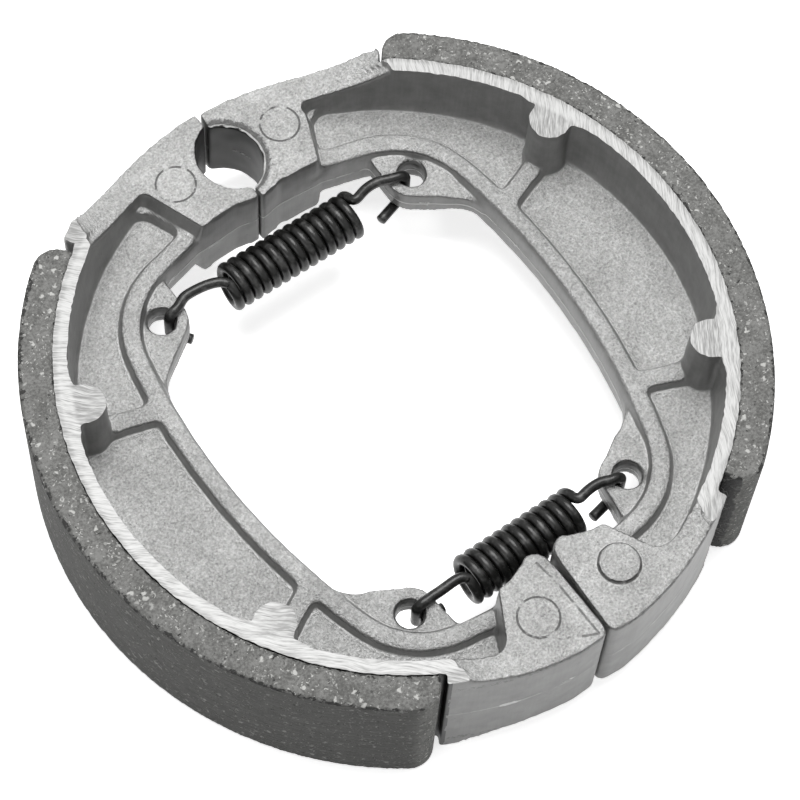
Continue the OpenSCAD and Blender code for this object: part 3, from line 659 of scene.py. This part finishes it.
liningShape = {"voxel": 0.42 * mm, "smoothing": 1, "outerRadius": 55.0, "halfWidth": 12.4, "chipReach": 0.7,
               "chipDepth": 0.3, "chipSize": 1.1, "fineSize": 0.6, "chipStart": 0.1, "chipDown": 0.8}


def grindLining(nodeName, pieceName, body, side, camEnd, gluedReach):
    lining = liningShape
    piece = copyNode(nodeName, pieceName)
    shape = bmesh.new()
    shape.from_mesh(piece.data)
    bmesh.ops.remove_doubles(shape, verts=shape.verts, dist=1e-6)
    shape.to_mesh(piece.data)
    shape.free()
    remeshed(piece, lining["voxel"])
    shape = bmesh.new()
    shape.from_mesh(piece.data)
    soften(shape, lining["smoothing"])
    centre = Vector((-side * arcShift * mm, 0, 0))
    for vert in shape.verts:        # edges crumble a little, and the seam edge stays where the shoe is
        out = vert.co - centre
        radius = math.hypot(out.x, out.y) / mm
        inFromSide = lining["halfWidth"] - abs(vert.co.z) / mm
        inFromEdge = max(lining["outerRadius"] - radius, inFromSide)
        if inFromEdge < lining["chipReach"]:
            crumb = noise.noise(vert.co / (lining["chipSize"] * mm))
            crumb += 0.5 * noise.noise(vert.co / (lining["fineSize"] * mm))
            near = 1 - max(inFromEdge, 0) / lining["chipReach"]
            push = max(0.0, crumb - lining["chipStart"]) * near * lining["chipDepth"] * mm
            vert.co -= Vector((out.x, out.y, 0)).normalized() * push
            vert.co.z -= math.copysign(push * lining["chipDown"], vert.co.z)
    for face in shape.faces:
        face.smooth = True
    shape.to_mesh(piece.data)
    shape.free()
    compound = pieceName.replace("_", " ") + " compound"
    piece.data.materials.append(frictionMaterial(compound, camEnd, gluedReach))
    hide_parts(nodeName)
    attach(piece, body)
    print(pieceName, "ground", len(piece.data.polygons))


# the last two numbers: the angle of the cam end, and the radius up to which glue covers it
grindLining("left_lining", "left_lining_block", "left_side", -1, -60.3, 51.0)
grindLining("right_lining", "right_lining_block", "right_side", 1, -56.2, 52.8)


# The springs' route repeats the one in the part's source, in millimetres, with finer steps.
# leave is the angle on the coil, in degrees, where the wire turns off towards the hook
springShape = {"wire": 1.6, "coil": 7.6, "pitch": 1.66, "leave": 70.0, "halfWeb": 2.2, "hole": 4.0,
               "bend": 1.3, "overWeb": 0.1, "inHole": 0.05, "burr": (0.15, 0.1),
               "liftOff": (0.5, -1.5, 0.55), "handles": (2.6, 1.6, 1.4),
               "steps": 24, "curveSteps": (18, 10), "bendSteps": 8, "sides": 14}
anchorSpring = {"turns": 14, "middle": (0.5, 27.8), "strands": ((16, 28.9), (-17, 28.9)),
                "holes": ((22.5, 27.6), (-22.5, 27.85)), "tails": ((15.8, 25.9), (-19.1, 25.1))}
camSpring = {"turns": 12, "middle": (0.4, -30.4), "strands": ((13.8, -29.8), (-14.5, -30.5)),
             "holes": ((19.2, -30.8), (-19.2, -30.55)), "tails": ((12.7, -31.8), (-13.4, -30.9))}


def bezierPoints(a, b, c, d, count):
    points = []
    for i in range(1, count + 1):
        t = i / count
        s = 1 - t
        points.append(a * s ** 3 + b * 3 * s * s * t + c * 3 * s * t * t + d * t ** 3)
    return points


def hookPoints(coilEnd, strand, hole, tail):
    # off the coil, level over the web, down through the hole in two bends, and back under the ear
    s = springShape
    coilRadius = (s["coil"] - s["wire"]) / 2
    leave = math.radians(s["leave"])
    hookZ = s["halfWeb"] + s["wire"] / 2 + s["overWeb"]
    leaveX = coilEnd - s["pitch"] * (90 - s["leave"]) / 360
    top = Vector((leaveX, coilRadius * math.cos(leave), coilRadius * math.sin(leave)))
    wayIn = (hole - strand).normalized()
    wayOut = (tail - hole).normalized()
    rest = hole - (wayIn - wayOut).normalized() * (s["hole"] / 2 - s["wire"] / 2 - s["inHole"])
    inCentre = rest - wayIn * s["bend"]
    outCentre = rest + wayOut * s["bend"]
    level = hookZ - s["bend"]
    up = Vector((0, 0, 1))
    over = strand + up * hookZ
    bendIn = inCentre + up * hookZ
    before, after, toBend = s["handles"]
    liftSteps, levelSteps = s["curveSteps"]
    points = bezierPoints(top, top + Vector(s["liftOff"]), over - Vector((before, 0, 0)), over, liftSteps)
    points += bezierPoints(over, over + Vector((after, 0, 0)), bendIn - wayIn * toBend, bendIn, levelSteps)
    bendStep = 90 / s["bendSteps"]
    for i in range(1, s["bendSteps"] + 1):
        a = math.radians(90 - bendStep * i)
        points.append(inCentre + wayIn * s["bend"] * math.cos(a) + up * (level + s["bend"] * math.sin(a)))
    for i in range(0, s["bendSteps"] + 1):
        a = math.radians(bendStep * i)
        points.append(outCentre - wayOut * s["bend"] * math.cos(a) - up * (level + s["bend"] * math.sin(a)))
    tip = tail - up * hookZ
    for share in (0.35, 0.7):
        points.append(points[-1].lerp(tip, share))
    points.append(tip)
    return points


def halfSpring(turns, strand, hole, tail):
    s = springShape
    coilRadius = (s["coil"] - s["wire"]) / 2
    steps = int(turns / 2 * s["steps"])
    coilEnd = turns / 2 * s["pitch"]
    points = []
    for i in range(steps):
        a = math.radians(90 + (i - steps) * 360 / s["steps"])
        points.append(Vector((coilEnd * i / steps, coilRadius * math.cos(a), coilRadius * math.sin(a))))
    return points + hookPoints(coilEnd, strand, hole, tail)


def windSpring(nodeName, pieceName, spring):
    turns = spring["turns"]
    middle = Vector(spring["middle"]).to_3d()
    strands = [Vector(p).to_3d() for p in spring["strands"]]
    holes = [Vector(p).to_3d() for p in spring["holes"]]
    tails = [Vector(p).to_3d() for p in spring["tails"]]
    right = halfSpring(turns, strands[0] - middle, holes[0] - middle, tails[0] - middle)
    left = halfSpring(turns, middle - strands[1], middle - holes[1], middle - tails[1])
    turned = [Vector((-p.x, -p.y, p.z)) for p in reversed(left[1:])]
    route = [(p + middle) * mm for p in turned + right]
    shape = bmesh.new()
    # a ring of the wire's section stands square to the route at each point, bridged to the one before
    side = Vector((0, 1, 0.3))      # a start that the wire never runs along
    loops = []
    for i, point in enumerate(route):
        along = (route[min(i + 1, len(route) - 1)] - route[max(i - 1, 0)]).normalized()
        side = (side - along * side.dot(along)).normalized()
        square = Matrix.Translation(point) @ Matrix((side, along.cross(side), along)).transposed().to_4x4()
        ring = bmesh.ops.create_circle(shape, segments=springShape["sides"],
                                       radius=springShape["wire"] / 2 * mm, matrix=square)["verts"]
        loops.append(list(dict.fromkeys(edge for vert in ring for edge in vert.link_edges)))
    for first, second in zip(loops, loops[1:]):
        bmesh.ops.bridge_loops(shape, edges=first + second)
    inward, outward = springShape["burr"]
    for loop in (loops[0], loops[-1]):      # sheared ends, with a small burr taken off
        cap = bmesh.ops.contextual_create(shape, geom=loop)["faces"]
        bmesh.ops.inset_region(shape, faces=cap, thickness=inward * mm, depth=outward * mm,
                               use_even_offset=True)
    bmesh.ops.recalc_face_normals(shape, faces=shape.faces)
    for face in shape.faces:
        face.smooth = True
    mesh = bpy.data.meshes.new(pieceName)
    shape.to_mesh(mesh)
    shape.free()
    piece = bpy.data.objects.new(pieceName, mesh)
    bpy.context.scene.collection.objects.link(piece)
    piece.data.materials.append(wireSkin)
    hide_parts(nodeName)
    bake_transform(piece)
    print(pieceName, "wound", len(mesh.polygons))


windSpring("anchor_spring", "anchor_end_spring", anchorSpring)
windSpring("cam_spring", "cam_end_spring", camSpring)


# Floor, light and camera, in metres. A softbox has its place, its size and its power in watts
stageLook = {"floorSize": 4.0, "floorGap": 0.00005, "floorBounce": "6E6E6E", "glow": 0.72, "air": 0.14,
             "softboxes": {"top softbox": ((0.07, 0.13, 0.7), (0.5, 0.45), 5.9),
                           "left softbox": ((-0.6, -0.2, 0.3), (0.4, 0.3), 0.7)}}
cameraView = {"place": (-0.11944, -0.14603, 0.38360), "turn": (25.9257, -2.0255, -35.3695),
              "film": 36, "lens": 131.14}


def seenRays(tree):
    # the rays that see the white background: those of the camera, and those mirrored or let through
    path = addNode(tree, "LightPath")
    mirrored = addNode(tree, "Math", {"operation": "MAXIMUM"},
                       {0: path.outputs["Is Glossy Ray"], 1: path.outputs["Is Transmission Ray"]})
    return addNode(tree, "Math", {"operation": "MAXIMUM"}, {0: path.outputs["Is Camera Ray"], 1: mirrored})


def paleFloor():
    material, tree = newMaterial("matt white table")
    bounce = addNode(tree, "BsdfDiffuse", {}, {"Color": linearColour(stageLook["floorBounce"])})
    white = addNode(tree, "BsdfDiffuse", {}, {"Color": linearColour("FFFFFF")})
    glow = addNode(tree, "Emission", {}, {"Color": linearColour("FFFFFF"), "Strength": stageLook["glow"]})
    lit = addNode(tree, "AddShader", {}, {0: white, 1: glow})
    surface = addNode(tree, "MixShader", {}, {0: seenRays(tree), 1: bounce, 2: lit})
    addNode(tree, "OutputMaterial", {}, {0: surface})
    shape = bmesh.new()
    bmesh.ops.create_grid(shape, x_segments=8, y_segments=8, size=stageLook["floorSize"] / 2,
                          matrix=Matrix.Translation((0, 0, -halfWidth * mm - stageLook["floorGap"])))
    mesh = bpy.data.meshes.new("table")
    shape.to_mesh(mesh)
    shape.free()
    floor = bpy.data.objects.new("table", mesh)
    bpy.context.scene.collection.objects.link(floor)
    mesh.materials.append(material)


def softbox(name, place, size, power):
    # an area lamp that faces the middle of the set
    lamp = bpy.data.lights.new(name, "AREA")
    lamp.shape = "RECTANGLE"
    lamp.size, lamp.size_y = size
    lamp.energy = power
    holder = bpy.data.objects.new(name, lamp)
    bpy.context.scene.collection.objects.link(holder)
    holder.location = place
    holder.rotation_euler = (-Vector(place)).to_track_quat("-Z", "Y").to_euler()


paleFloor()
for name, (place, size, power) in stageLook["softboxes"].items():
    softbox(name, place, size, power)

world = bpy.data.worlds.new("studio air")
world.use_nodes = True
bpy.context.scene.world = world
tree = world.node_tree
tree.nodes.clear()
dim = addNode(tree, "Background", {}, {"Color": linearColour("FFFFFF"), "Strength": stageLook["air"]})
white = addNode(tree, "Background", {}, {"Color": linearColour("FFFFFF"), "Strength": 1.0})
surround = addNode(tree, "MixShader", {}, {0: seenRays(tree), 1: dim, 2: white})
addNode(tree, "OutputWorld", {}, {0: surround})

cameraData = bpy.data.cameras.new("camera")
cameraData.sensor_width = cameraView["film"]
cameraData.lens = cameraView["lens"]
cameraData.clip_start = 0.01
camera = bpy.data.objects.new("camera", cameraData)
bpy.context.scene.collection.objects.link(camera)
camera.location = cameraView["place"]
camera.rotation_euler = [math.radians(a) for a in cameraView["turn"]]
bpy.context.scene.camera = camera
bpy.context.scene.view_settings.view_transform = "Standard"
print("stage set")
